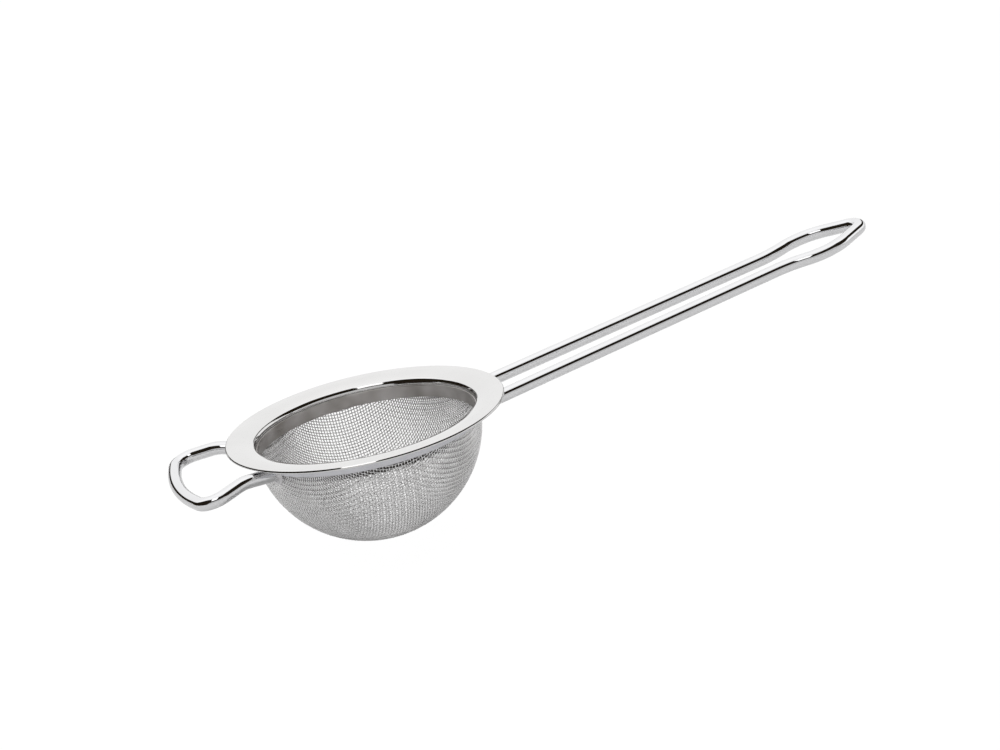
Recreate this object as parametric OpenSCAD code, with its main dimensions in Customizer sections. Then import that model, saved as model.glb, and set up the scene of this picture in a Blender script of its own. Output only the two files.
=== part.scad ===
// Tea strainer: a wire-cloth bowl clamped in a pressed rim, a hairpin wire handle with a
// hanging loop, and a short rest loop opposite it. Everything is stainless steel.
// Origin: centre of the rim, at the height of the rim's flat top. +Z is up along the bowl's
// axis, +X points along the handle, and the part is the same on both sides of Y = 0.

/* [Rim] */
// Outside diameter of the rim flange
rim_d = 94; // [86:1:120]
// Thickness of the flange sheet
rim_t = 0.9; // [0.6:0.1:1.2]
// Radius on the flange's top outer edge
rim_edge_r = 0.7; // [0.3:0.05:0.8]
// Width of the flat outer part of the flange
rim_flat_w = 3; // [2:0.5:6]
// Drop from the flat to the top of the roll at the mouth
dish_drop = 1; // [0.4:0.1:1.4]
// Radius of the roll between the dip and the lip
roll_r = 1.2; // [1.1:0.05:2]
// Depth of the lip's lower edge under the rim's top
lip_depth = 3.2; // [2.8:0.1:5]

/* [Bowl] */
// Outside diameter of the wire-cloth bowl at its mouth
bowl_d = 76.7; // [60:0.1:84]
// Depth of the bowl's lowest point under the rim's top
bowl_depth = 41.5; // [30:0.5:60]
// Thickness of the woven cloth over its crossing wires
cloth_t = 0.75; // [0.5:0.05:1]
// Depth under the rim's top at which the cloth starts to curve in
bowl_turn_depth = 4.5; // [3.8:0.1:8]

/* [Clamping rings] */
// Wall of the outer collar
collar_t = 0.8; // [0.5:0.1:1.5]
// Depth of the outer collar's lower edge under the rim's top
collar_depth = 5.4; // [4:0.1:8]
// Wall of the inner ring
ring_t = 0.6; // [0.4:0.05:0.8]
// Height of the inner ring
ring_h = 4.5; // [3:0.1:6]
// Clearance between a ring and the cloth or the lip beside it
fit_gap = 0.05; // [0.02:0.01:0.1]

/* [Handle] */
// Diameter of the handle and rest-loop wire
wire_d = 4.5; // [3:0.1:6]
// Clearance between the wires and the underside of the rim's edge
wire_gap = 0.1; // [0.05:0.05:0.5]
// Angle at which the handle rises from the rim's plane
handle_rise = 8.3; // [0:0.1:20]
// Length of the handle from the rim's edge to its tip, along the slope
handle_l = 140.2; // [100:0.2:200]
// Distance between the wire centres at the rim's edge
handle_root_w = 18.6; // [14:0.2:26]
// Distance between the wire centres where the hanging loop starts
handle_neck_w = 16; // [12:0.2:24]

/* [Hanging loop] */
// Length of the loop from where it starts to flare to its pointed end
loop_l = 34.5; // [28:0.5:45]
// Distance from the widest corners to the pointed end
loop_point_l = 20.6; // [17:0.2:24]
// Distance between the corner points of the loop, before rounding
loop_w = 26.4; // [22:0.2:32]
// Radius of the flare's bend
loop_flare_r = 29; // [15:1:30]
// Radius of the wide corners
loop_corner_r = 18; // [8:1:20]
// Radius of the pointed end
loop_tip_r = 4.6; // [3:0.1:6]

/* [Rest loop] */
// Reach of the loop's front beyond the rim's edge
rest_reach = 20.4; // [16:0.2:30]
// Distance between the loop's corner points, before rounding
rest_w = 55.4; // [48:0.2:64]
// Angle at which each side splays out from the X direction
rest_splay = 25; // [15:1:32]
// Angle between the front bar's ends and the Y direction
rest_bow = 14.6; // [5:0.2:18]
// Radius of the corners
rest_corner_r = 5.8; // [4:0.1:9]
// Angle at which the loop dips away from the rim
rest_dip = 10; // [0:0.5:15]
// Angle at which the wires climb from the collar to the rim's edge
rest_climb = 9; // [0:0.5:12]
// Radius of the bend between the climb and the dip
rest_bend_r = 14; // [8:1:20]

/* [Welds] */
// Thickness of the weld bead round each wire end
bead_r = 0.9; // [0.5:0.1:1.2]

/* [Hidden] */
$fn = 256;

// Each straight of a wire runs this far into its bends, which are this much thicker
joint_overlap = 0.2;
bend_swell = 0.01;
shortest_straight = 0.3;
arc_steps = 16;

rim_r = rim_d / 2;
wire_r = wire_d / 2;

// Rim section: a flat, an arc that dips from it and a tighter roll that turns down to the lip
bowl_r = bowl_d / 2;
collar_in_r = bowl_r + fit_gap;
collar_r = collar_in_r + collar_t;
dish_w = rim_r - rim_flat_w - collar_in_r;
dish_angle = 2 * atan(dish_drop / dish_w);
dish_r = roll_r + dish_w / sin(dish_angle);
dish_centre = [rim_r - rim_flat_w, -dish_r];
roll_centre = [collar_in_r, -dish_drop - roll_r];
lip_r = roll_centre.x - roll_r;

// Bowl: the sphere that the cloth follows under its straight clamped edge
cap_depth = min(bowl_r, bowl_depth - bowl_turn_depth);
cap_r = (bowl_r * bowl_r + cap_depth * cap_depth) / 2 / cap_depth;
cap_z = cap_r - bowl_depth;
cloth_top = -lip_depth - fit_gap;

// Inner ring: it stops where its lower edge would touch the cloth
ring_edge_r = ring_t / 2;
ring_top = cloth_top;
ring_foot = ring_top - ring_h + ring_edge_r;
ring_foot_r = sqrt(pow(cap_r - cloth_t - ring_edge_r - fit_gap, 2) - pow(min(0, ring_foot - cap_z), 2));
ring_r = min(bowl_r - cloth_t - fit_gap - ring_edge_r, ring_foot_r);

// Welds: the height of the flange's underside over the collar's outer face
bead_top = dish_centre.y + sqrt(pow(dish_r - rim_t, 2) - pow(dish_centre.x - collar_r, 2)) - fit_gap;

// Handle plane: u runs outwards from the rim's edge along the slope
wire_drop = rim_t + wire_gap + wire_r / cos(handle_rise);
handle_origin = [rim_r, 0, -wire_drop];
tip_u = handle_l - wire_r + loop_tip_r * (1 / sin(loop_tip_half()) - 1);
neck_u = tip_u - loop_l;
widest_u = tip_u - loop_point_l;
handle_taper = (handle_root_w - handle_neck_w) / 2 / neck_u;
root_u = -(rim_r - collar_r) - wire_d;

// Rest-loop plane: p runs outwards from the rim's edge along the dip
rest_origin = [-rim_r, 0, -rim_t - wire_gap - wire_r / cos(rest_dip)];
rest_side = atan(tan(rest_splay) * cos(rest_dip));
front_l = rest_w / 2 / cos(rest_bow);
corner_turn = 90 + rest_side - rest_bow;
corner_tangent = rest_corner_r * tan(corner_turn / 2);
front_r = (front_l - corner_tangent - 2 * shortest_straight) / tan(rest_bow);
front_p = rest_reach - wire_r + front_r * (1 / cos(rest_bow) - 1);
corner_p = front_p - front_l * sin(rest_bow);
knee_y = rest_w / 2 - corner_p * tan(rest_side);

function loop_tip_half() = atan(loop_w / 2 / loop_point_l);

function unit(v) = v / norm(v);

// Point in the handle plane, from its u and y
function on_handle(u, y) =
    handle_origin + [u * cos(handle_rise), y, u * sin(handle_rise)];

// Point in the rest-loop plane, from its p and y
function on_rest(p, y) =
    rest_origin + [-p * cos(rest_dip), y, -p * sin(rest_dip)];

// Point where a rest-loop wire starts inside the collar, on the side given by its sign
function rest_root(side) =
    let (run = rim_r - collar_in_r * cos(atan(knee_y / rim_r)) + wire_r)
    on_rest(0, side * knee_y)
        + run * [1, -side * tan(rest_splay), -tan(rest_climb) / cos(rest_splay)];

handle_path = [on_handle(root_u, handle_root_w / 2 - root_u * handle_taper),
               on_handle(neck_u, handle_neck_w / 2),
               on_handle(widest_u, loop_w / 2),
               on_handle(tip_u, 0),
               on_handle(widest_u, -loop_w / 2),
               on_handle(neck_u, -handle_neck_w / 2),
               on_handle(root_u, -handle_root_w / 2 + root_u * handle_taper)];
handle_bends = fitted(handle_path,
                      [loop_flare_r, loop_corner_r, loop_tip_r, loop_corner_r, loop_flare_r]);

rest_path = [rest_root(1),
             on_rest(0, knee_y),
             on_rest(corner_p, rest_w / 2),
             on_rest(front_p, 0),
             on_rest(corner_p, -rest_w / 2),
             on_rest(0, -knee_y),
             rest_root(-1)];
rest_bends = fitted(rest_path,
                    [rest_bend_r, rest_corner_r, front_r, rest_corner_r, rest_bend_r]);

// Angle that a path turns through at point i
function bend_angle(path, i) =
    acos(unit(path[i] - path[i - 1]) * unit(path[i + 1] - path[i]));

// Length that the bend at point i takes off each side of the path
function bend_length(path, bends, i) =
    (i == 0 || i == len(path) - 1) ? 0 : bends[i - 1] * tan(bend_angle(path, i) / 2);

// Room for bends along side i of a path, as a share of what its bends ask for
function side_share(path, bends, i) =
    (norm(path[i + 1] - path[i]) - shortest_straight)
        / (bend_length(path, bends, i) + bend_length(path, bends, i + 1));

// Bend radii, each made smaller only where the sides beside it are too short
function fitted(path, bends) =
    [for (i = [1 : len(bends)])
        bends[i - 1] * min(1, side_share(path, bends, i - 1), side_share(path, bends, i))];

// Round bar from point a to point b
module bar(a, b) {
    run = b - a;
    translate(a)
        rotate([0, acos(run.z / norm(run)), atan2(run.y, run.x)])
            cylinder(h = norm(run), r = wire_r);
}

// Bend of radius r at point i of a path, between its two straight neighbours
module bend(path, i, r) {
    from = unit(path[i] - path[i - 1]);
    to = unit(path[i + 1] - path[i]);
    inward = unit(to - from * (to * from));
    centre = path[i] - from * r * tan(bend_angle(path, i) / 2) + inward * r;
    normal = cross(-inward, from);
    multmatrix([[-inward.x, from.x, normal.x, centre.x],
                [-inward.y, from.y, normal.y, centre.y],
                [-inward.z, from.z, normal.z, centre.z],
                [0, 0, 0, 1]])
        rotate_extrude(angle = bend_angle(path, i))
            translate([r, 0])
                circle(r = wire_r + bend_swell);
}

// Round wire along a path, bent at each inner point
module bent_wire(path, bends) {
    for (i = [0 : len(path) - 2]) {
        along = unit(path[i + 1] - path[i]);
        bar(path[i] + along * (bend_length(path, bends, i) - joint_overlap),
            path[i + 1] - along * (bend_length(path, bends, i + 1) - joint_overlap));
    }
    for (i = [1 : len(bends)])
        bend(path, i, bends[i - 1]);
}

// Points along an arc from angle a0 to a1, without the first
function arc_points(centre, r, a0, a1) =
    [for (i = [1 : arc_steps])
        let (a = a0 + (a1 - a0) * i / arc_steps)
        centre + r * [cos(a), sin(a)]];

// Face of the flange's sheet from the lip's lower edge out to the flat, at a depth in the sheet
function sheet_face(depth) =
    concat([[lip_r + depth, -lip_depth], [lip_r + depth, roll_centre.y]],
           arc_points(roll_centre, roll_r - depth, 180, 90 + dish_angle),
           arc_points(dish_centre, dish_r - depth, 90 + dish_angle, 90));

function reversed(list) = [for (i = [len(list) - 1 : -1 : 0]) list[i]];

// Section of the flange: lip, roll, dip, flat and rounded outer edge
module rim_section() {
    edge_centre = [rim_r - rim_edge_r, -rim_edge_r];
    polygon(concat(sheet_face(0),
                   [edge_centre + [0, rim_edge_r]],
                   arc_points(edge_centre, rim_edge_r, 90, 0),
                   [[rim_r, -rim_t]],
                   reversed(sheet_face(rim_t))));
}

module rim_flange() {
    color("gainsboro")
        rotate_extrude()
            rim_section();
}

// Collar outside the cloth, up to the underside of the flange
module outer_collar() {
    mid_sheet_r = dish_r - rim_t / 2;
    top = dish_centre.y + sqrt(pow(mid_sheet_r, 2) - pow(dish_centre.x - collar_in_r, 2));
    color("silver")
        rotate_extrude()
            difference() {
                translate([collar_in_r, -collar_depth])
                    square([collar_t, top + collar_depth]);
                rim_section();
            }
}

// Ring inside the cloth, with both edges rounded
module inner_ring() {
    color("darkgray")
        rotate_extrude() {
            translate([ring_r - ring_edge_r, ring_foot])
                square([ring_t, ring_top - ring_edge_r - ring_foot]);
            for (z = [ring_foot, ring_top - ring_edge_r])
                translate([ring_r, z])
                    circle(r = ring_edge_r);
        }
}

// Wire cloth, as a plain shell of its full thickness
module mesh_bowl() {
    mouth_z = -bowl_depth + cap_depth;
    color("lightslategray")
        rotate_extrude() {
            translate([bowl_r - cloth_t, mouth_z])
                square([cloth_t, cloth_top - mouth_z]);
            intersection() {
                translate([0, cap_z])
                    difference() {
                        circle(r = cap_r);
                        circle(r = cap_r - cloth_t);
                    }
                translate([0, -bowl_depth])
                    square([bowl_r, cap_depth]);
            }
        }
}

// Space inside the collar's outer face, which trims the wire ends and the welds
module collar_core() {
    translate([0, 0, -bowl_depth])
        cylinder(h = bowl_depth, r = collar_r);
}

module handle_wire() {
    color("whitesmoke")
        difference() {
            bent_wire(handle_path, handle_bends);
            collar_core();
        }
}

module rest_loop_wire() {
    color("whitesmoke")
        difference() {
            bent_wire(rest_path, rest_bends);
            collar_core();
        }
}

// Distance from a towards b at which a wire's axis leaves the collar
function way_to_collar(a, b) =
    let (along = unit(b - a),
         mid = a.x * along.x + a.y * along.y,
         squared = along.x * along.x + along.y * along.y)
    (sqrt(mid * mid - squared * (a.x * a.x + a.y * a.y - collar_r * collar_r)) - mid) / squared;

// Bead round a wire from a towards b, where it meets the collar, clear of the flange above
module weld_bead(a, b) {
    along = unit(b - a);
    difference() {
        translate(a + along * (way_to_collar(a, b) - 2 * bead_r))
            rotate([0, acos(along.z), atan2(along.y, along.x)])
                cylinder(h = 3.6 * bead_r, r1 = wire_r + 2 * bead_r, r2 = wire_r + 0.2 * bead_r);
        bar(a, b);
        collar_core();
        translate([-rim_r, -rim_r, bead_top])
            cube([rim_d, rim_d, bowl_depth]);
    }
}

module handle_weld(side) {
    color("silver")
        if (side > 0)
            weld_bead(handle_path[0], handle_path[1]);
        else
            weld_bead(handle_path[6], handle_path[5]);
}

module rest_weld(side) {
    color("silver")
        if (side > 0)
            weld_bead(rest_path[0], rest_path[1]);
        else
            weld_bead(rest_path[6], rest_path[5]);
}

rim_flange();
outer_collar();
inner_ring();
mesh_bowl();
handle_wire();
rest_loop_wire();
handle_weld(1);  // handle_weld_left
handle_weld(-1);  // handle_weld_right
rest_weld(1);  // rest_weld_left
rest_weld(-1);  // rest_weld_right
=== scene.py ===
import math

import bpy
import numpy as np
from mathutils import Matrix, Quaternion, Vector


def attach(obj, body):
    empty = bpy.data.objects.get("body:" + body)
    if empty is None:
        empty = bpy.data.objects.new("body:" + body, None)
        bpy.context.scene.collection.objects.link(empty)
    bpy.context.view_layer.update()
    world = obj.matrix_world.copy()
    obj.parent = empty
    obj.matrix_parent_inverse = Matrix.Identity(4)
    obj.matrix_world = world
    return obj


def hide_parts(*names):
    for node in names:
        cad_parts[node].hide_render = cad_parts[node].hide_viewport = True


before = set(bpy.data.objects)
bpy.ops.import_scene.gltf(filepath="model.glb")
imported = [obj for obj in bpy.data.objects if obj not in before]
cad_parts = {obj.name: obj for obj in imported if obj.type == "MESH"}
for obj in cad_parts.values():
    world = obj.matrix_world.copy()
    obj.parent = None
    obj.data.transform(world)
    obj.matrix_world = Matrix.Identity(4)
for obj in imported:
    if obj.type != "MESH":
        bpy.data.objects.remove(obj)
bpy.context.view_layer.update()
scene = bpy.context.scene
mm = 0.001  # piece sizes below are in millimetres, and the scene is in metres

studio = {
    "aim": (0.0457, -0.0092, 0.0035),
    "distance": 0.8253,
    "towardCamera": (-0.2336, -0.9241, 0.3023),
    "tilt": -11.82,  # degrees about the view
    "lens": 90,
    "floorHeight": -0.0416,
    "floorSize": 4.0,
    "floorColour": (0.80, 0.80, 0.80, 1),
    "skyStops": [  # share of a full turn about the camera's right, and brightness there
        (0.0, 0.9), (0.25, 0.62), (0.5, 0.62), (0.56, 0.66), (0.60, 1.02), (0.72, 1.2),
        (0.85, 1.05), (1.0, 0.98)],
    # The unlit room, as heading and height. Headings here and below are degrees from -Y towards +X,
    # and heights are degrees above the horizon.
    "darkTop": [(-180, 9), (-150, 12), (-120, 27), (-98, 52), (-80, 58), (66, 58), (78, 50), (100, 42),
                (116, 30), (148, 14)],
    "darkFoot": [(-180, -4), (-150, -3), (-100, -2), (-66, -6), (-54, -2), (-44, 12), (-30, 19), (36, 19),
                 (52, 9), (66, 9), (78, 19), (100, 16), (148, 4)],
    "darkReach": (-190, 148),
    "darkSideBlur": 3,  # degrees over which each border of the unlit room fades
    "darkFootBlur": 1.5,
    "darkTopBlur": 1,
    "darkColour": (0.016, 0.012, 0.008, 1),
    "softboxes": [  # heading, height, width, length, radiance
        (-25, 46, 0.64, 0.66, 1.5)],
    "softboxDistance": 1.5,
    "floorLamp": 5.5,  # watts, left out of all reflections
    "floorLampSize": 1.2,
    "floorLampHeight": 1.5,
    "floorGlow": 1.05,
    "floorGlowShare": 0.93,  # the floor reads as white, with only a trace of shadow
}


def makeCamera():
    data = bpy.data.cameras.new("stillCamera")
    data.lens = studio["lens"]
    data.sensor_width = 36
    data.clip_start = 0.01
    camera = bpy.data.objects.new("stillCamera", data)
    scene.collection.objects.link(camera)
    back = Vector(studio["towardCamera"]).normalized()
    camera.location = Vector(studio["aim"]) + back * studio["distance"]
    facing = (-back).to_track_quat("-Z", "Y") @ Quaternion((0, 0, 1), math.radians(studio["tilt"]))
    camera.rotation_euler = facing.to_euler()
    scene.camera = camera
    return facing


def makeSky(facing):
    up = facing @ Vector((0, 1, 0))
    back = facing @ Vector((0, 0, 1))
    world = bpy.data.worlds.new("studioSky")
    scene.world = world
    world.use_nodes = True
    nodes, link = world.node_tree.nodes, world.node_tree.links.new
    direction = nodes.new("ShaderNodeTexCoord").outputs["Generated"]

    def maths(operation, *values):
        node = nodes.new("ShaderNodeMath")
        node.operation = operation
        for socket, value in zip(node.inputs, values):
            if isinstance(value, (int, float)):
                socket.default_value = value
            else:
                link(value, socket)
        return node.outputs[0]

    def along(axis):
        dot = nodes.new("ShaderNodeVectorMath")
        dot.operation = "DOT_PRODUCT"
        dot.inputs[1].default_value = axis
        link(direction, dot.inputs[0])
        return dot.outputs["Value"]

    def step(value, low, high):  # 0 below low, 1 above high
        node = nodes.new("ShaderNodeMapRange")
        node.interpolation_type = "SMOOTHSTEP"
        node.inputs["From Min"].default_value = low
        node.inputs["From Max"].default_value = high
        link(value, node.inputs["Value"])
        return node.outputs[0]

    turn = maths("ARCTAN2", along(up), along(back))
    ramp = nodes.new("ShaderNodeValToRGB")
    fillRamp(ramp, [(at, (v, v, v, 1)) for at, v in studio["skyStops"]])
    link(maths("MULTIPLY_ADD", turn, 0.5 / math.pi, 0.5), ramp.inputs[0])
    height = maths("MULTIPLY", maths("ARCSINE", along((0, 0, 1))), 180 / math.pi)
    heading = maths("MULTIPLY", maths("ARCTAN2", along((1, 0, 0)), along((0, -1, 0))), 180 / math.pi)

    def edgeHeight(stops):  # the ramp holds a height from -45 to 90 degrees
        node = nodes.new("ShaderNodeValToRGB")
        fillRamp(node, [(at / 360 + 0.5, ((h + 45) / 135,) * 3 + (1,)) for at, h in stops])
        link(maths("MULTIPLY_ADD", heading, 1 / 360, 0.5), node.inputs[0])
        return maths("MULTIPLY_ADD", node.outputs["Color"], 135, -45)

    left, right = studio["darkReach"]
    blur, footBlur, topBlur = studio["darkSideBlur"], studio["darkFootBlur"], studio["darkTopBlur"]
    dark = maths("MULTIPLY", step(heading, left - blur, left + blur),
                 maths("SUBTRACT", 1, step(heading, right - blur, right + blur)))
    overFoot = maths("SUBTRACT", height, edgeHeight(studio["darkFoot"]))
    dark = maths("MULTIPLY", dark, step(overFoot, -footBlur, footBlur))
    underTop = maths("SUBTRACT", edgeHeight(studio["darkTop"]), height)
    dark = maths("MULTIPLY", dark, step(underTop, -topBlur, topBlur))
    lit = nodes["Background"]
    link(ramp.outputs["Color"], lit.inputs["Color"])
    unlit = nodes.new("ShaderNodeBackground")
    unlit.inputs["Color"].default_value = studio["darkColour"]
    room = nodes.new("ShaderNodeMixShader")
    link(dark, room.inputs[0])
    link(lit.outputs[0], room.inputs[1])
    link(unlit.outputs[0], room.inputs[2])
    seen = nodes.new("ShaderNodeBackground")
    seen.inputs["Color"].default_value = (1, 1, 1, 1)
    mix = nodes.new("ShaderNodeMixShader")
    link(nodes.new("ShaderNodeLightPath").outputs["Is Camera Ray"], mix.inputs[0])
    link(room.outputs[0], mix.inputs[1])
    link(seen.outputs[0], mix.inputs[2])
    link(mix.outputs[0], nodes["World Output"].inputs["Surface"])


def fillRamp(ramp, stops):
    elements = ramp.color_ramp.elements
    while len(elements) > 1:
        elements.remove(elements[-1])
    elements[0].position, elements[0].color = stops[0]
    for position, colour in stops[1:]:
        elements.new(position).color = colour


def makeSoftboxes():
    for number, (side, lift, width, height, radiance) in enumerate(studio["softboxes"]):
        side, lift = math.radians(side), math.radians(lift)
        way = Vector((math.sin(side) * math.cos(lift), -math.cos(side) * math.cos(lift), math.sin(lift)))
        data = bpy.data.lights.new(f"softbox{number}", "AREA")
        data.shape = "RECTANGLE"
        data.size, data.size_y = width, height
        data.energy = radiance * math.pi * width * height
        light = bpy.data.objects.new(f"softbox{number}", data)
        scene.collection.objects.link(light)
        light.location = way * studio["softboxDistance"]
        light.rotation_euler = (-way).to_track_quat("-Z", "Y").to_euler()
    data = bpy.data.lights.new("floorLamp", "AREA")
    data.size = studio["floorLampSize"]
    data.energy = studio["floorLamp"]
    lamp = bpy.data.objects.new("floorLamp", data)
    lamp.location = (0, 0, studio["floorLampHeight"])
    lamp.visible_glossy = False
    scene.collection.objects.link(lamp)


def makeFloor():
    half, z = studio["floorSize"] / 2, studio["floorHeight"]
    mesh = bpy.data.meshes.new("floor")
    mesh.from_pydata([(-half, -half, z), (half, -half, z), (half, half, z), (-half, half, z)],
                     [], [(0, 1, 2, 3)])
    floor = bpy.data.objects.new("floor", mesh)
    scene.collection.objects.link(floor)
    material = bpy.data.materials.new("paleFloor")
    material.use_nodes = True
    nodes, link = material.node_tree.nodes, material.node_tree.links.new
    nodes.remove(nodes["Principled BSDF"])
    plain = nodes.new("ShaderNodeBsdfDiffuse")
    plain.inputs["Color"].default_value = studio["floorColour"]
    seen = nodes.new("ShaderNodeEmission")
    seen.inputs["Strength"].default_value = studio["floorGlow"]
    share = nodes.new("ShaderNodeMath")
    share.operation = "MULTIPLY"
    share.inputs[1].default_value = studio["floorGlowShare"]
    link(nodes.new("ShaderNodeLightPath").outputs["Is Camera Ray"], share.inputs[0])
    mix = nodes.new("ShaderNodeMixShader")
    link(share.outputs[0], mix.inputs[0])
    link(plain.outputs[0], mix.inputs[1])
    link(seen.outputs[0], mix.inputs[2])
    link(mix.outputs[0], nodes["Material Output"].inputs["Surface"])
    mesh.materials.append(material)


facing = makeCamera()
makeSky(facing)
makeSoftboxes()
makeFloor()
scene.view_settings.view_transform = "Standard"
print("studio: camera, sky, softboxes and floor")


# Steel with fine lines left by polishing or drawing, and slow patches of a different sheen
def makeSteel(name, look):
    material = bpy.data.materials.new(name)
    material.use_nodes = True
    nodes, link = material.node_tree.nodes, material.node_tree.links.new
    shader = nodes["Principled BSDF"]
    shader.inputs["Metallic"].default_value = 1.0
    place = nodes.new("ShaderNodeTexCoord").outputs["Object"]
    lines = nodes.new("ShaderNodeTexNoise")
    lines.inputs["Scale"].default_value = 1.0
    lines.inputs["Detail"].default_value = 3.0
    if look["turned"]:  # lines run round the Z axis
        flat = nodes.new("ShaderNodeVectorMath")
        flat.operation = "MULTIPLY"
        flat.inputs[1].default_value = (1, 1, 0)
        link(place, flat.inputs[0])
        radius = nodes.new("ShaderNodeVectorMath")
        radius.operation = "LENGTH"
        link(flat.outputs[0], radius.inputs[0])
        split = nodes.new("ShaderNodeSeparateXYZ")
        link(place, split.inputs[0])
        joined = nodes.new("ShaderNodeCombineXYZ")
        link(radius.outputs["Value"], joined.inputs["X"])
        link(split.outputs["Z"], joined.inputs["Y"])
        source = joined.outputs[0]
    else:
        source = place
    stretch = nodes.new("ShaderNodeMapping")
    stretch.inputs["Scale"].default_value = look["lines"]
    link(source, stretch.inputs["Vector"])
    link(stretch.outputs[0], lines.inputs["Vector"])
    patches = nodes.new("ShaderNodeTexNoise")
    patches.inputs["Scale"].default_value = look["patches"]
    patches.inputs["Detail"].default_value = 2.0
    link(place, patches.inputs["Vector"])
    tint = nodes.new("ShaderNodeValToRGB")
    fillRamp(tint, [(0.3, (*look["dull"], 1)), (0.7, (*look["colour"], 1))])
    link(patches.outputs[0], tint.inputs[0])
    link(tint.outputs["Color"], shader.inputs["Base Color"])
    both = nodes.new("ShaderNodeMath")
    both.operation = "MULTIPLY_ADD"
    both.inputs[1].default_value = 0.5
    link(lines.outputs[0], both.inputs[0])
    half = nodes.new("ShaderNodeMath")
    half.operation = "MULTIPLY"
    half.inputs[1].default_value = 0.5
    link(patches.outputs[0], half.inputs[0])
    link(half.outputs[0], both.inputs[2])
    sheen = nodes.new("ShaderNodeMapRange")
    sheen.inputs["From Min"].default_value = 0.3
    sheen.inputs["From Max"].default_value = 0.7
    sheen.inputs["To Min"].default_value = look["roughness"][0]
    sheen.inputs["To Max"].default_value = look["roughness"][1]
    link(both.outputs[0], sheen.inputs["Value"])
    link(sheen.outputs[0], shader.inputs["Roughness"])
    relief = nodes.new("ShaderNodeBump")
    relief.inputs["Strength"].default_value = look["relief"]
    relief.inputs["Distance"].default_value = 0.00002
    link(lines.outputs[0], relief.inputs["Height"])
    link(relief.outputs[0], shader.inputs["Normal"])
    return material


finishes = {
    "polishedSheet": {"turned": True, "lines": (5000, 5000, 1), "patches": 60,
                      "colour": (0.775, 0.77, 0.765), "dull": (0.745, 0.74, 0.735),
                      "roughness": (0.05, 0.10), "relief": 0.05},
    "satinSteel": {"turned": True, "lines": (3000, 9000, 1), "patches": 140,
                   "colour": (0.64, 0.64, 0.67), "dull": (0.56, 0.56, 0.59),
                   "roughness": (0.22, 0.34), "relief": 0.3},
    "dullRing": {"turned": True, "lines": (3000, 7000, 1), "patches": 75,
                 "colour": (0.68, 0.66, 0.65), "dull": (0.33, 0.305, 0.285),
                 "roughness": (0.26, 0.40), "relief": 0.4},
    # Painted shade: a dark finish that stands in for the shadow in the gap between the inner ring's outer
    # face and the cloth
    "shadedRingFace": {"turned": True, "lines": (3000, 7000, 1), "patches": 300,
                    "colour": (0.17, 0.16, 0.15), "dull": (0.10, 0.09, 0.08),
                    "roughness": (0.4, 0.6), "relief": 0.4},
    "brightWire": {"turned": False, "lines": (1600, 1600, 1600), "patches": 90,
                   "colour": (0.80, 0.80, 0.81), "dull": (0.77, 0.77, 0.78),
                   "roughness": (0.035, 0.075), "relief": 0.012},
    "wireCloth": {"turned": False, "lines": (4000, 4000, 4000), "patches": 110,
                  "colour": (0.90, 0.895, 0.895), "dull": (0.78, 0.775, 0.775),
                  "roughness": (0.08, 0.16), "relief": 0.15},
    "weldMetal": {"turned": False, "lines": (3000, 3000, 3000), "patches": 700,
                  "colour": (0.68, 0.67, 0.68), "dull": (0.50, 0.49, 0.50),
                  "roughness": (0.18, 0.36), "relief": 0.5},
}
steel = {name: makeSteel(name, look) for name, look in finishes.items()}
print("finishes:", ", ".join(steel))


def finishPiece(piece, finish, nodesReplaced):
    if finish not in piece.data.materials:
        piece.data.materials.append(steel[finish])
    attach(piece, "root")
    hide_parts(*nodesReplaced)


def outward(mesh):  # turns the mesh the right way out if it encloses a negative volume
    mesh.calc_loop_triangles()
    at = np.empty(len(mesh.vertices) * 3)
    mesh.vertices.foreach_get("co", at)
    at = at.reshape(-1, 3)
    corners = np.empty(len(mesh.loop_triangles) * 3, dtype=int)
    mesh.loop_triangles.foreach_get("vertices", corners)
    a, b, c = (at[corners[k::3]] for k in range(3))
    if np.einsum("ij,ij->i", a, np.cross(b, c)).sum() < 0:
        mesh.flip_normals()


# Shell closed both ways: rows of points round a ring, each row a closed section
def ringPiece(name, rows, sharpAngle=35):
    rows = np.asarray(rows, dtype=float)
    count, width = rows.shape[:2]
    i, j = np.meshgrid(np.arange(count), np.arange(width), indexing="ij")
    nextI, nextJ = (i + 1) % count, (j + 1) % width
    faces = np.stack([i * width + j, nextI * width + j, nextI * width + nextJ, i * width + nextJ],
                     axis=-1).reshape(-1, 4)
    mesh = bpy.data.meshes.new(name)
    mesh.from_pydata((rows.reshape(-1, 3) * mm).tolist(), [], faces.tolist())
    outward(mesh)
    mesh.shade_smooth()
    mesh.set_sharp_from_angle(angle=math.radians(sharpAngle))
    piece = bpy.data.objects.new(name, mesh)
    scene.collection.objects.link(piece)
    return piece


def turned(name, section, steps=288):
    angles = np.arange(steps) * 2 * math.pi / steps
    rows = [[(r * math.cos(a), r * math.sin(a), z) for r, z in section] for a in angles]
    return ringPiece(name, rows)


def arc(centre, radius, start, end, steps):
    angles = np.radians(np.linspace(start, end, steps + 1))
    return [(centre[0] + radius * math.cos(a), centre[1] + radius * math.sin(a)) for a in angles]


rim = {
    "radius": 47, "sheet": 0.9, "flatWidth": 3, "dishRadius": 17.38,
    "rollRadius": 1.0, "rollStart": 20.25, "slopeTilt": 63, "slopeLength": 0.55, "lipTilt": 78,
    "lipLength": 0.5, "edgeRadius": 0.45, "edgeTilt": 60, "edgeLength": 0.25, "underRadius": 0.12,
}


# Sheet face as points with their tilt: each stretch has a length and turns steadily to a new tilt
def pressed(start, side, stretches):
    point, tilt, face = np.array(start, dtype=float), 0.0, [(tuple(start), 0.0)]
    for length, newTilt, steps in stretches:
        for k in range(steps):
            middle = math.radians(tilt + (newTilt - tilt) * (k + 0.5) / steps)
            point = point + length / steps * np.array([side * math.cos(middle), -math.sin(middle)])
            face.append((tuple(point), tilt + (newTilt - tilt) * (k + 1) / steps))
        tilt = newTilt
    return face


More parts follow.
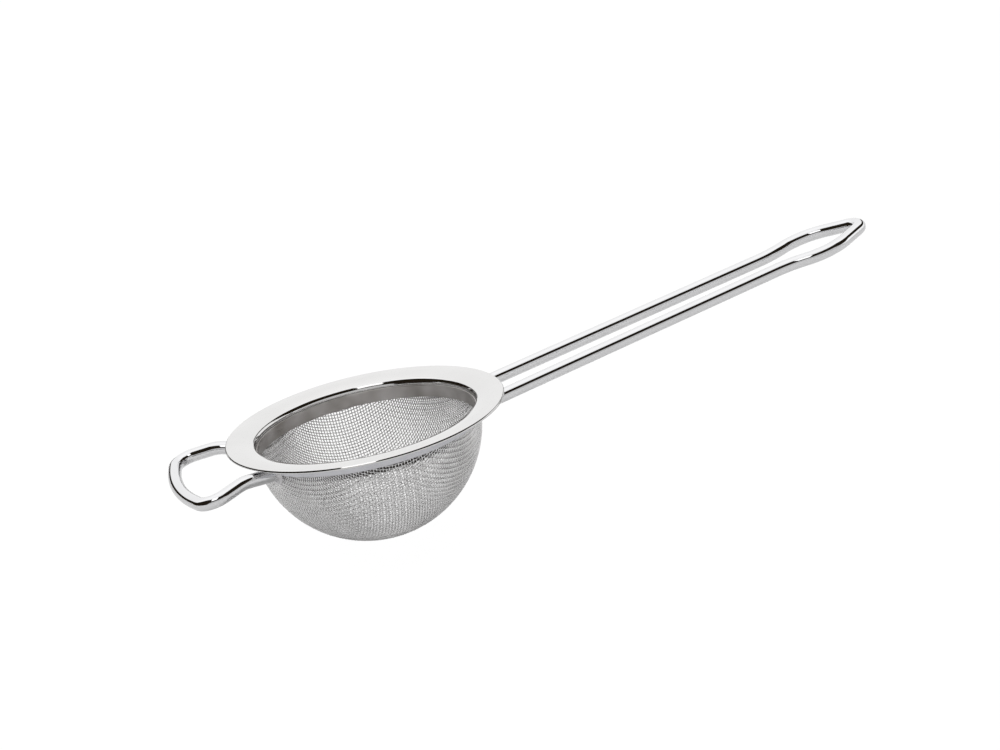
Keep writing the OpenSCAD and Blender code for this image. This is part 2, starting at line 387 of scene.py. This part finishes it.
def makeRim():
    roll, edge = rim["rollRadius"] * math.pi / 180, rim["edgeRadius"] * math.pi / 180
    inward = pressed((rim["radius"] - rim["flatWidth"], 0), -1, [
        (rim["dishRadius"] * math.radians(rim["rollStart"]), rim["rollStart"], 14),
        (roll * (rim["slopeTilt"] - rim["rollStart"]), rim["slopeTilt"], 12),
        (rim["slopeLength"], rim["slopeTilt"] + 2, 3),
        (roll * (rim["lipTilt"] - rim["slopeTilt"]), rim["lipTilt"], 5),
        (rim["lipLength"], rim["lipTilt"], 2)])
    edgeWidth = rim["edgeRadius"] + rim["edgeLength"] * math.sin(math.radians(90 - rim["edgeTilt"]))
    rolledEdge = pressed((rim["radius"] - edgeWidth, 0), 1, [
        (edge * rim["edgeTilt"], rim["edgeTilt"], 10), (rim["edgeLength"], rim["edgeTilt"] + 1, 3),
        (edge * (90 - rim["edgeTilt"]), 90, 6)])
    top = [point for point, tilt in inward]
    under = [(r + rim["sheet"] * math.sin(math.radians(tilt)),
              z - rim["sheet"] * math.cos(math.radians(tilt))) for (r, z), tilt in inward]
    (r0, z0), (r1, z1) = top[-1], under[-1]
    heading = math.degrees(math.atan2(z1 - z0, r1 - r0))
    foot = arc(((r0 + r1) / 2, (z0 + z1) / 2), rim["sheet"] / 2, 180 + heading, 360 + heading, 10)[1:-1]
    flat = [(rim["radius"] - rim["flatWidth"] + step, 0) for step in (0.8, 1.6)]
    small = rim["underRadius"]
    low = arc((rim["radius"] - small, -rim["sheet"] + small), small, 0, -90, 4)
    section = list(reversed(top)) + flat + [point for point, tilt in rolledEdge] + low + under + foot[::-1]
    piece = turned("rimFlange", section)
    finishPiece(piece, "polishedSheet", ["rim_flange"])


makeRim()
print("rim flange turned")

collar = {
    "inside": 38.4, "wall": 0.8, "depth": 5.4, "top": -1.62, "topSlope": 0.2, "edgeRadius": 0.25,
    "insideRows": (-4, -3), "outsideRows": (-2.4, -3.2, -4.2),
}


def makeCollar():
    inside, outside = collar["inside"], collar["inside"] + collar["wall"]
    foot, soft = -collar["depth"], collar["edgeRadius"]
    section = arc((outside - soft, foot + soft), soft, 0, -90, 6)
    section += arc((inside + soft, foot + soft), soft, -90, -180, 6)
    section += [(inside, z) for z in (*collar["insideRows"], collar["top"] - collar["topSlope"])]
    section += [(outside, z) for z in (collar["top"], *collar["outsideRows"])]
    piece = turned("outerCollar", section)
    finishPiece(piece, "satinSteel", ["outer_collar"])


innerRing = {"centreRadius": 37.02, "wall": 0.6, "top": -3.25, "height": 4.5}


def makeInnerRing():
    half, middle = innerRing["wall"] / 2, innerRing["centreRadius"]
    top, foot = innerRing["top"] - half, innerRing["top"] - innerRing["height"] + half
    section = arc((middle, top), half, 0, 180, 10)
    section += [(middle - half, z) for z in np.linspace(top, foot, 6)[1:-1]]
    section += arc((middle, foot), half, 180, 360, 10)
    section += [(middle + half, z) for z in np.linspace(foot, top, 6)[1:-1]]
    piece = turned("innerRing", section)
    finishPiece(piece, "dullRing", ["inner_ring"])
    # Painted shade: the outer face, in the shadowed gap behind the cloth, gets the dark finish in place of
    # that shadow
    piece.data.materials.append(steel["shadedRingFace"])  # the face that the cloth is pinched against
    for face in piece.data.polygons:
        if math.hypot(*face.center[:2]) > (middle + 0.5 * half) * mm:
            face.material_index = 1


makeCollar()
makeInnerRing()
print("clamping rings turned")


def newTree(name, sizes):
    tree = bpy.data.node_groups.new(name, "GeometryNodeTree")
    tree.interface.new_socket("Geometry", in_out="INPUT", socket_type="NodeSocketGeometry")
    for label, kind, value in sizes:
        socket = tree.interface.new_socket(label, in_out="INPUT", socket_type=kind)
        if value is not None:
            socket.default_value = value
    tree.interface.new_socket("Geometry", in_out="OUTPUT", socket_type="NodeSocketGeometry")
    return tree, tree.nodes.new("NodeGroupInput"), tree.nodes.new("NodeGroupOutput")


def runTree(piece, tree, values):  # the result becomes the piece's own plain mesh
    modifier = piece.modifiers.new(tree.name, "NODES")
    modifier.node_group = tree
    sockets = {item.name: item.identifier for item in tree.interface.items_tree
               if item.in_out == "INPUT"}
    for label, value in values.items():
        modifier[sockets[label]] = value
    depsgraph = bpy.context.evaluated_depsgraph_get()
    made = bpy.data.meshes.new_from_object(piece.evaluated_get(depsgraph), depsgraph=depsgraph)
    piece.modifiers.remove(modifier)
    before, piece.data = piece.data, made
    bpy.data.meshes.remove(before)
    made.name = piece.name
    return made


def endTree(tree, link, geometry, source, target):  # ends with Realize Instances and Set Material
    real = tree.nodes.new("GeometryNodeRealizeInstances")
    link(geometry, real.inputs["Geometry"])
    smooth = tree.nodes.new("GeometryNodeSetShadeSmooth")
    link(real.outputs["Geometry"], smooth.inputs["Geometry"])
    paint = tree.nodes.new("GeometryNodeSetMaterial")
    link(smooth.outputs["Geometry"], paint.inputs["Geometry"])
    link(source.outputs["Finish"], paint.inputs["Material"])
    link(paint.outputs["Geometry"], target.inputs["Geometry"])


# Round wire along a path of straight runs, bent at each inner point to that point's radius
def bentWireTree():
    tree, source, target = newTree("bentWire", [
        ("Wire Radius", "NodeSocketFloat", 0.002), ("Bend Steps", "NodeSocketInt", 24),
        ("Round Steps", "NodeSocketInt", 40), ("Finish", "NodeSocketMaterial", None)])
    link = tree.links.new
    path = tree.nodes.new("GeometryNodeMeshToCurve")
    link(source.outputs["Geometry"], path.inputs["Mesh"])
    radius = tree.nodes.new("GeometryNodeInputNamedAttribute")
    radius.data_type = "FLOAT"
    radius.inputs["Name"].default_value = "bendRadius"
    bends = tree.nodes.new("GeometryNodeFilletCurve")
    if hasattr(bends, "mode"):
        bends.mode = "POLY"
    link(path.outputs["Curve"], bends.inputs["Curve"])
    link(source.outputs["Bend Steps"], bends.inputs["Count"])
    link(radius.outputs["Attribute"], bends.inputs["Radius"])
    circle = tree.nodes.new("GeometryNodeCurvePrimitiveCircle")
    link(source.outputs["Round Steps"], circle.inputs["Resolution"])
    link(source.outputs["Wire Radius"], circle.inputs["Radius"])
    sweep = tree.nodes.new("GeometryNodeCurveToMesh")
    link(bends.outputs["Curve"], sweep.inputs["Curve"])
    link(circle.outputs["Curve"], sweep.inputs["Profile Curve"])
    sweep.inputs["Fill Caps"].default_value = True
    endTree(tree, link, sweep.outputs["Mesh"], source, target)
    return tree


bentWire = bentWireTree()
collarOutside = collar["inside"] + collar["wall"]
wireSteps = {"bend": 28, "round": 48}
seating = {"bite": 0.06, "flatness": 0.01, "reach": 1.1}  # reach is in wire radii


def unit(v):
    return v / np.linalg.norm(v)


def cosine(degrees):
    return math.cos(math.radians(degrees))


def sine(degrees):
    return math.sin(math.radians(degrees))


def tangent(degrees):
    return math.tan(math.radians(degrees))


def bendTangents(path, radii):
    lengths = [0.0]
    for i in range(1, len(path) - 1):
        dot = np.dot(unit(path[i] - path[i - 1]), unit(path[i + 1] - path[i]))
        lengths.append(radii[i] * math.tan(math.acos(np.clip(dot, -1, 1)) / 2))
    return lengths + [0.0]


def fittedRadii(path, radii, shortest=0.3):  # a bend shrinks where the straights beside it are short
    lengths = bendTangents(path, radii)
    share = [(np.linalg.norm(path[i + 1] - path[i]) - shortest) / max(lengths[i] + lengths[i + 1], 1e-9)
             for i in range(len(path) - 1)]
    return [0.0] + [radii[i] * min(1, share[i - 1], share[i]) for i in range(1, len(path) - 1)] + [0.0]


# Slides the end rings along the wire until they meet the collar's curved outer face.
# Only vertices beside the end count: its plane also cuts the far side of a loop.
def seatEnds(mesh, path, wireRadius):
    at = np.empty(len(mesh.vertices) * 3)
    mesh.vertices.foreach_get("co", at)
    at = at.reshape(-1, 3) / mm
    for end, inner in ((path[0], path[1]), (path[-1], path[-2])):
        along = unit(inner - end)
        ring = np.abs((at - end) @ along) < seating["flatness"]
        ring &= np.linalg.norm(at - end, axis=1) < seating["reach"] * wireRadius
        flat, way = at[ring][:, :2], along[:2]
        b, a = flat @ way, way @ way
        c = (flat ** 2).sum(axis=1) - (collarOutside - seating["bite"]) ** 2
        at[ring] += ((np.sqrt(b * b - a * c) - b) / a)[:, None] * along
    if not np.isfinite(at).all():
        raise ValueError(f"{mesh.name}: an end ring misses the collar")
    mesh.vertices.foreach_set("co", (at * mm).ravel())
    mesh.update()


def wirePiece(name, path, radii, wireRadius):
    mesh = bpy.data.meshes.new(name)
    mesh.from_pydata([tuple(p * mm) for p in path], [(i, i + 1) for i in range(len(path) - 1)], [])
    bendRadius = mesh.attributes.new("bendRadius", "FLOAT", "POINT")
    bendRadius.data.foreach_set("value", [r * mm for r in fittedRadii(path, radii)])
    piece = bpy.data.objects.new(name, mesh)
    scene.collection.objects.link(piece)
    made = runTree(piece, bentWire, {
        "Wire Radius": wireRadius * mm, "Bend Steps": wireSteps["bend"],
        "Round Steps": wireSteps["round"], "Finish": steel["brightWire"]})
    seatEnds(made, path, wireRadius)
    outward(made)
    return piece


handle = {
    "wireRadius": 2.25, "gap": 0.1, "rise": 8.3, "length": 140.2, "rootWidth": 18.6,
    "neckWidth": 16, "loopLength": 34.5, "pointLength": 20.6, "loopWidth": 26.4,
    "flareRadius": 29, "cornerRadius": 18, "tipRadius": 4.6,
}


def handlePath():
    tipHalf = math.atan(handle["loopWidth"] / 2 / handle["pointLength"])
    tip = handle["length"] - handle["wireRadius"] + handle["tipRadius"] * (1 / math.sin(tipHalf) - 1)
    neck, widest = tip - handle["loopLength"], tip - handle["pointLength"]
    taper = (handle["rootWidth"] - handle["neckWidth"]) / 2 / neck
    root = -(rim["radius"] - collarOutside) - 1.6
    drop = rim["sheet"] + handle["gap"] + handle["wireRadius"] / cosine(handle["rise"])
    half = [(root, handle["rootWidth"] / 2 - root * taper), (neck, handle["neckWidth"] / 2),
            (widest, handle["loopWidth"] / 2)]
    outline = half + [(tip, 0)] + [(u, -y) for u, y in reversed(half)]
    return [np.array([rim["radius"] + u * cosine(handle["rise"]), y, u * sine(handle["rise"]) - drop])
            for u, y in outline]


restLoop = {
    "wireRadius": 2.25, "gap": 0.1, "reach": 20.4, "width": 55.4, "splay": 25, "bow": 14.6,
    "cornerRadius": 5.8, "dip": 10, "climb": 9, "bendRadius": 14,
}


def restPath():
    side = math.degrees(math.atan(tangent(restLoop["splay"]) * cosine(restLoop["dip"])))
    front = restLoop["width"] / 2 / cosine(restLoop["bow"])
    cornerRun = restLoop["cornerRadius"] * tangent((90 + side - restLoop["bow"]) / 2)
    frontRadius = (front - cornerRun - 0.6) / tangent(restLoop["bow"])
    frontReach = restLoop["reach"] - restLoop["wireRadius"] + frontRadius * (1 / cosine(restLoop["bow"]) - 1)
    cornerReach = frontReach - front * sine(restLoop["bow"])
    knee = restLoop["width"] / 2 - cornerReach * tangent(side)
    drop = rim["sheet"] + restLoop["gap"] + restLoop["wireRadius"] / cosine(restLoop["dip"])
    dip = restLoop["dip"]
    outline = [(0, knee), (cornerReach, restLoop["width"] / 2), (frontReach, 0),
               (cornerReach, -restLoop["width"] / 2), (0, -knee)]
    middle = [np.array([-rim["radius"] - p * cosine(dip), y, -drop - p * sine(dip)]) for p, y in outline]
    run = rim["radius"] - collarOutside * math.cos(math.atan(knee / rim["radius"])) + 1.2
    climb = tangent(restLoop["climb"]) / cosine(restLoop["splay"])
    roots = [middle[k] + run * np.array([1, -sign * tangent(restLoop["splay"]), -climb])
             for k, sign in ((0, 1), (-1, -1))]
    return [roots[0]] + middle + [roots[1]], frontRadius


handleLine = handlePath()
flare, corner = handle["flareRadius"], handle["cornerRadius"]
handleWire = wirePiece("handleWire", handleLine,
                       [0, flare, corner, handle["tipRadius"], corner, flare, 0], handle["wireRadius"])
finishPiece(handleWire, "brightWire", ["handle_wire"])
restLine, frontRadius = restPath()
bend, corner = restLoop["bendRadius"], restLoop["cornerRadius"]
restWire = wirePiece("restLoopWire", restLine, [0, bend, corner, frontRadius, corner, bend, 0],
                     restLoop["wireRadius"])
finishPiece(restWire, "brightWire", ["rest_loop_wire"])
print("handle and rest-loop wires bent")

weld = {
    "spread": 1.3, "length": 1.5, "steps": 10, "round": 72, "uneven": 0.16, "top": -1.95,
    "bite": 0.05, "core": 0.5, "root": -0.3, "curve": 1.1, "ripple": 0.05,
}


# Concave bead between a wire and the collar, a little uneven as it froze
def makeWeld(name, path, seed, node):
    along = unit(path[1] - path[0])
    sideways = unit(np.cross(along, (0, 0, 1)))
    above = np.cross(sideways, along)
    wireRadius = handle["wireRadius"]
    draw = np.random.default_rng(seed)
    phase, size = draw.uniform(0, 2 * math.pi, 5), draw.uniform(0.4, 1, 5)
    rows = []
    for a in np.arange(weld["round"]) * 2 * math.pi / weld["round"]:
        out = sideways * math.cos(a) + above * math.sin(a)
        wave = sum(size[k] * math.sin((k + 2) * a + phase[k]) for k in range(5)) / 3
        grow = 1 + weld["uneven"] * wave
        row = []
        for t in np.linspace(0, 1, weld["steps"] + 1):
            swell = 1 + weld["ripple"] * math.sin(9 * a + 14 * t + phase[0])
            hollow = (1 - math.sin(t * math.pi / 2)) ** weld["curve"]
            radial = wireRadius - weld["bite"] + weld["spread"] * grow * swell * hollow
            axial = weld["length"] * grow * (1 - math.cos(t * math.pi / 2)) ** weld["curve"]
            row.append((radial, axial))
        core = wireRadius - weld["core"]
        row += [(core, row[-1][1]), (core, weld["root"]), (row[0][0], weld["root"])]
        points = []
        for radial, axial in row:
            start = path[0] + out * radial
            b, c = start[:2] @ along[:2], start[:2] @ start[:2] - (collarOutside - weld["bite"]) ** 2
            way = (math.sqrt(b * b - (along[:2] @ along[:2]) * c) - b) / (along[:2] @ along[:2])
            point = start + along * (way + axial)
            point[2] = min(point[2], weld["top"])
            points.append(point)
        rows.append(points)
    piece = ringPiece(name, rows, 60)
    finishPiece(piece, "weldMetal", [node])


makeWeld("handleWeldLeft", handleLine, 3, "handle_weld_left")
makeWeld("handleWeldRight", handleLine[::-1], 5, "handle_weld_right")
makeWeld("restWeldLeft", restLine, 8, "rest_weld_left")
makeWeld("restWeldRight", restLine[::-1], 11, "rest_weld_right")
print("weld beads laid")

cloth = {
    "sphereRadius": 37.975, "centreHeight": -3.126, "pitch": 1.03, "wireRadius": 0.19,
    "lift": 0.185, "topHeight": -3.3, "steps": 3, "sides": 6, "unevenness": 0.03, "seed": 7,
}


# Crossings of a plain weave draped over the bowl: each is one pitch from its two neighbours
def weaveQuarter():
    step = cloth["pitch"] / cloth["sphereRadius"]
    angle = 2 * math.asin(step / 2)
    limit = (cloth["topHeight"] - cloth["centreHeight"]) / cloth["sphereRadius"]
    count = int(math.pi / 2 / angle) + 1
    net = {}
    for i in range(count):
        net[i, 0] = np.array([math.sin(i * angle), 0, -math.cos(i * angle)])
        net[0, i] = np.array([0, math.sin(i * angle), -math.cos(i * angle)])
    for i in range(1, count):
        for j in range(1, count):
            if (i, j - 1) not in net or (i - 1, j) not in net or (i - 1, j - 1) not in net:
                continue
            a, b, before = net[i, j - 1], net[i - 1, j], net[i - 1, j - 1]
            middle = (a + b) * math.cos(angle) / (1 + a @ b)
            across = np.cross(a, b)
            room = (1 - middle @ middle) / (across @ across)
            if room <= 0:
                continue
            offset = across * math.sqrt(room)
            found = [middle + offset, middle - offset]
            net[i, j] = max(found, key=lambda p: np.linalg.norm(p - before))
    return {key: p for key, p in net.items() if p[2] <= limit}


# One wire of each run of crossings, as edges, with the side of the cloth it passes on
def weaveWires(net, alongX, positive):
    points, edges, lift = [], [], []
    reach = max(key[0] for key in net)
    for line in range(0 if positive else -reach, reach + 1 if positive else 0):
        last = None
        for step in range(-reach, reach + 1):
            i, j = (step, line) if alongX else (line, step)
            p = net.get((abs(i), abs(j)))
            if p is None:
                last = None
                continue
            points.append((p * [-1 if i < 0 else 1, -1 if j < 0 else 1, 1]) * cloth["sphereRadius"])
            points[-1][2] += cloth["centreHeight"]
            lift.append((1 if alongX else -1) * (1 if (i + j) % 2 == 0 else -1))
            if last is not None:
                edges.append((last, len(points) - 1))
            last = len(points) - 1
    return np.array(points) * mm, edges, lift


def clothTree():
    tree, source, target = newTree("wovenWires", [
        ("Wire Radius", "NodeSocketFloat", 0.0002), ("Lift", "NodeSocketFloat", 0.0002),
        ("Centre Height", "NodeSocketFloat", 0.0), ("Steps", "NodeSocketInt", 3),
        ("Sides", "NodeSocketInt", 6), ("Unevenness", "NodeSocketFloat", 0.0),
        ("Seed", "NodeSocketInt", 1), ("Finish", "NodeSocketMaterial", None)])
    link = tree.links.new
    place = tree.nodes.new("GeometryNodeInputPosition")
    centre = tree.nodes.new("ShaderNodeCombineXYZ")
    link(source.outputs["Centre Height"], centre.inputs["Z"])
    outwards = tree.nodes.new("ShaderNodeVectorMath")
    outwards.operation = "SUBTRACT"
    link(place.outputs[0], outwards.inputs[0])
    link(centre.outputs[0], outwards.inputs[1])
    normal = tree.nodes.new("ShaderNodeVectorMath")
    normal.operation = "NORMALIZE"
    link(outwards.outputs[0], normal.inputs[0])
    side = tree.nodes.new("GeometryNodeInputNamedAttribute")
    side.data_type = "FLOAT"
    side.inputs["Name"].default_value = "lift"
    height = tree.nodes.new("ShaderNodeMath")
    height.operation = "MULTIPLY"
    link(side.outputs["Attribute"], height.inputs[0])
    link(source.outputs["Lift"], height.inputs[1])
    shift = tree.nodes.new("ShaderNodeVectorMath")
    shift.operation = "SCALE"
    link(normal.outputs[0], shift.inputs[0])
    link(height.outputs[0], shift.inputs["Scale"])
    uneven = tree.nodes.new("FunctionNodeRandomValue")
    uneven.data_type = "FLOAT_VECTOR"
    uneven.inputs[0].default_value = (-1, -1, -1)
    uneven.inputs[1].default_value = (1, 1, 1)
    link(source.outputs["Seed"], uneven.inputs["Seed"])
    small = tree.nodes.new("ShaderNodeVectorMath")
    small.operation = "SCALE"
    link(uneven.outputs[0], small.inputs[0])
    link(source.outputs["Unevenness"], small.inputs["Scale"])
    both = tree.nodes.new("ShaderNodeVectorMath")
    both.operation = "ADD"
    link(shift.outputs[0], both.inputs[0])
    link(small.outputs[0], both.inputs[1])
    weave = tree.nodes.new("GeometryNodeSetPosition")
    link(source.outputs["Geometry"], weave.inputs["Geometry"])
    link(both.outputs[0], weave.inputs["Offset"])
    lines = tree.nodes.new("GeometryNodeMeshToCurve")
    link(weave.outputs["Geometry"], lines.inputs["Mesh"])
    smooth = tree.nodes.new("GeometryNodeCurveSplineType")
    smooth.spline_type = "CATMULL_ROM"
    link(lines.outputs["Curve"], smooth.inputs["Curve"])
    fine = tree.nodes.new("GeometryNodeSetSplineResolution")
    link(smooth.outputs["Curve"], fine.inputs["Geometry"])
    link(source.outputs["Steps"], fine.inputs["Resolution"])
    circle = tree.nodes.new("GeometryNodeCurvePrimitiveCircle")
    link(source.outputs["Sides"], circle.inputs["Resolution"])
    link(source.outputs["Wire Radius"], circle.inputs["Radius"])
    sweep = tree.nodes.new("GeometryNodeCurveToMesh")
    link(fine.outputs["Geometry"], sweep.inputs["Curve"])
    link(circle.outputs["Curve"], sweep.inputs["Profile Curve"])
    sweep.inputs["Fill Caps"].default_value = True
    endTree(tree, link, sweep.outputs["Mesh"], source, target)
    return tree


def makeCloth():
    net = weaveQuarter()
    tree = clothTree()
    total = 0
    for name, alongX, positive in (("clothWarpFar", True, True), ("clothWarpNear", True, False),
                                   ("clothWeftRight", False, True), ("clothWeftLeft", False, False)):
        points, edges, lift = weaveWires(net, alongX, positive)
        mesh = bpy.data.meshes.new(name)
        mesh.from_pydata(points.tolist(), edges, [])
        mesh.attributes.new("lift", "FLOAT", "POINT").data.foreach_set("value", lift)
        piece = bpy.data.objects.new(name, mesh)
        scene.collection.objects.link(piece)
        made = runTree(piece, tree, {
            "Wire Radius": cloth["wireRadius"] * mm, "Lift": cloth["lift"] * mm,
            "Centre Height": cloth["centreHeight"] * mm, "Steps": cloth["steps"],
            "Sides": cloth["sides"], "Unevenness": cloth["unevenness"] * mm,
            "Seed": cloth["seed"], "Finish": steel["wireCloth"]})
        outward(made)
        made.calc_loop_triangles()
        total += len(made.loop_triangles)
        finishPiece(piece, "wireCloth", ["mesh_bowl"])
    print("wire cloth woven:", len(net), "crossings in a quarter,", total, "triangles")


makeCloth()
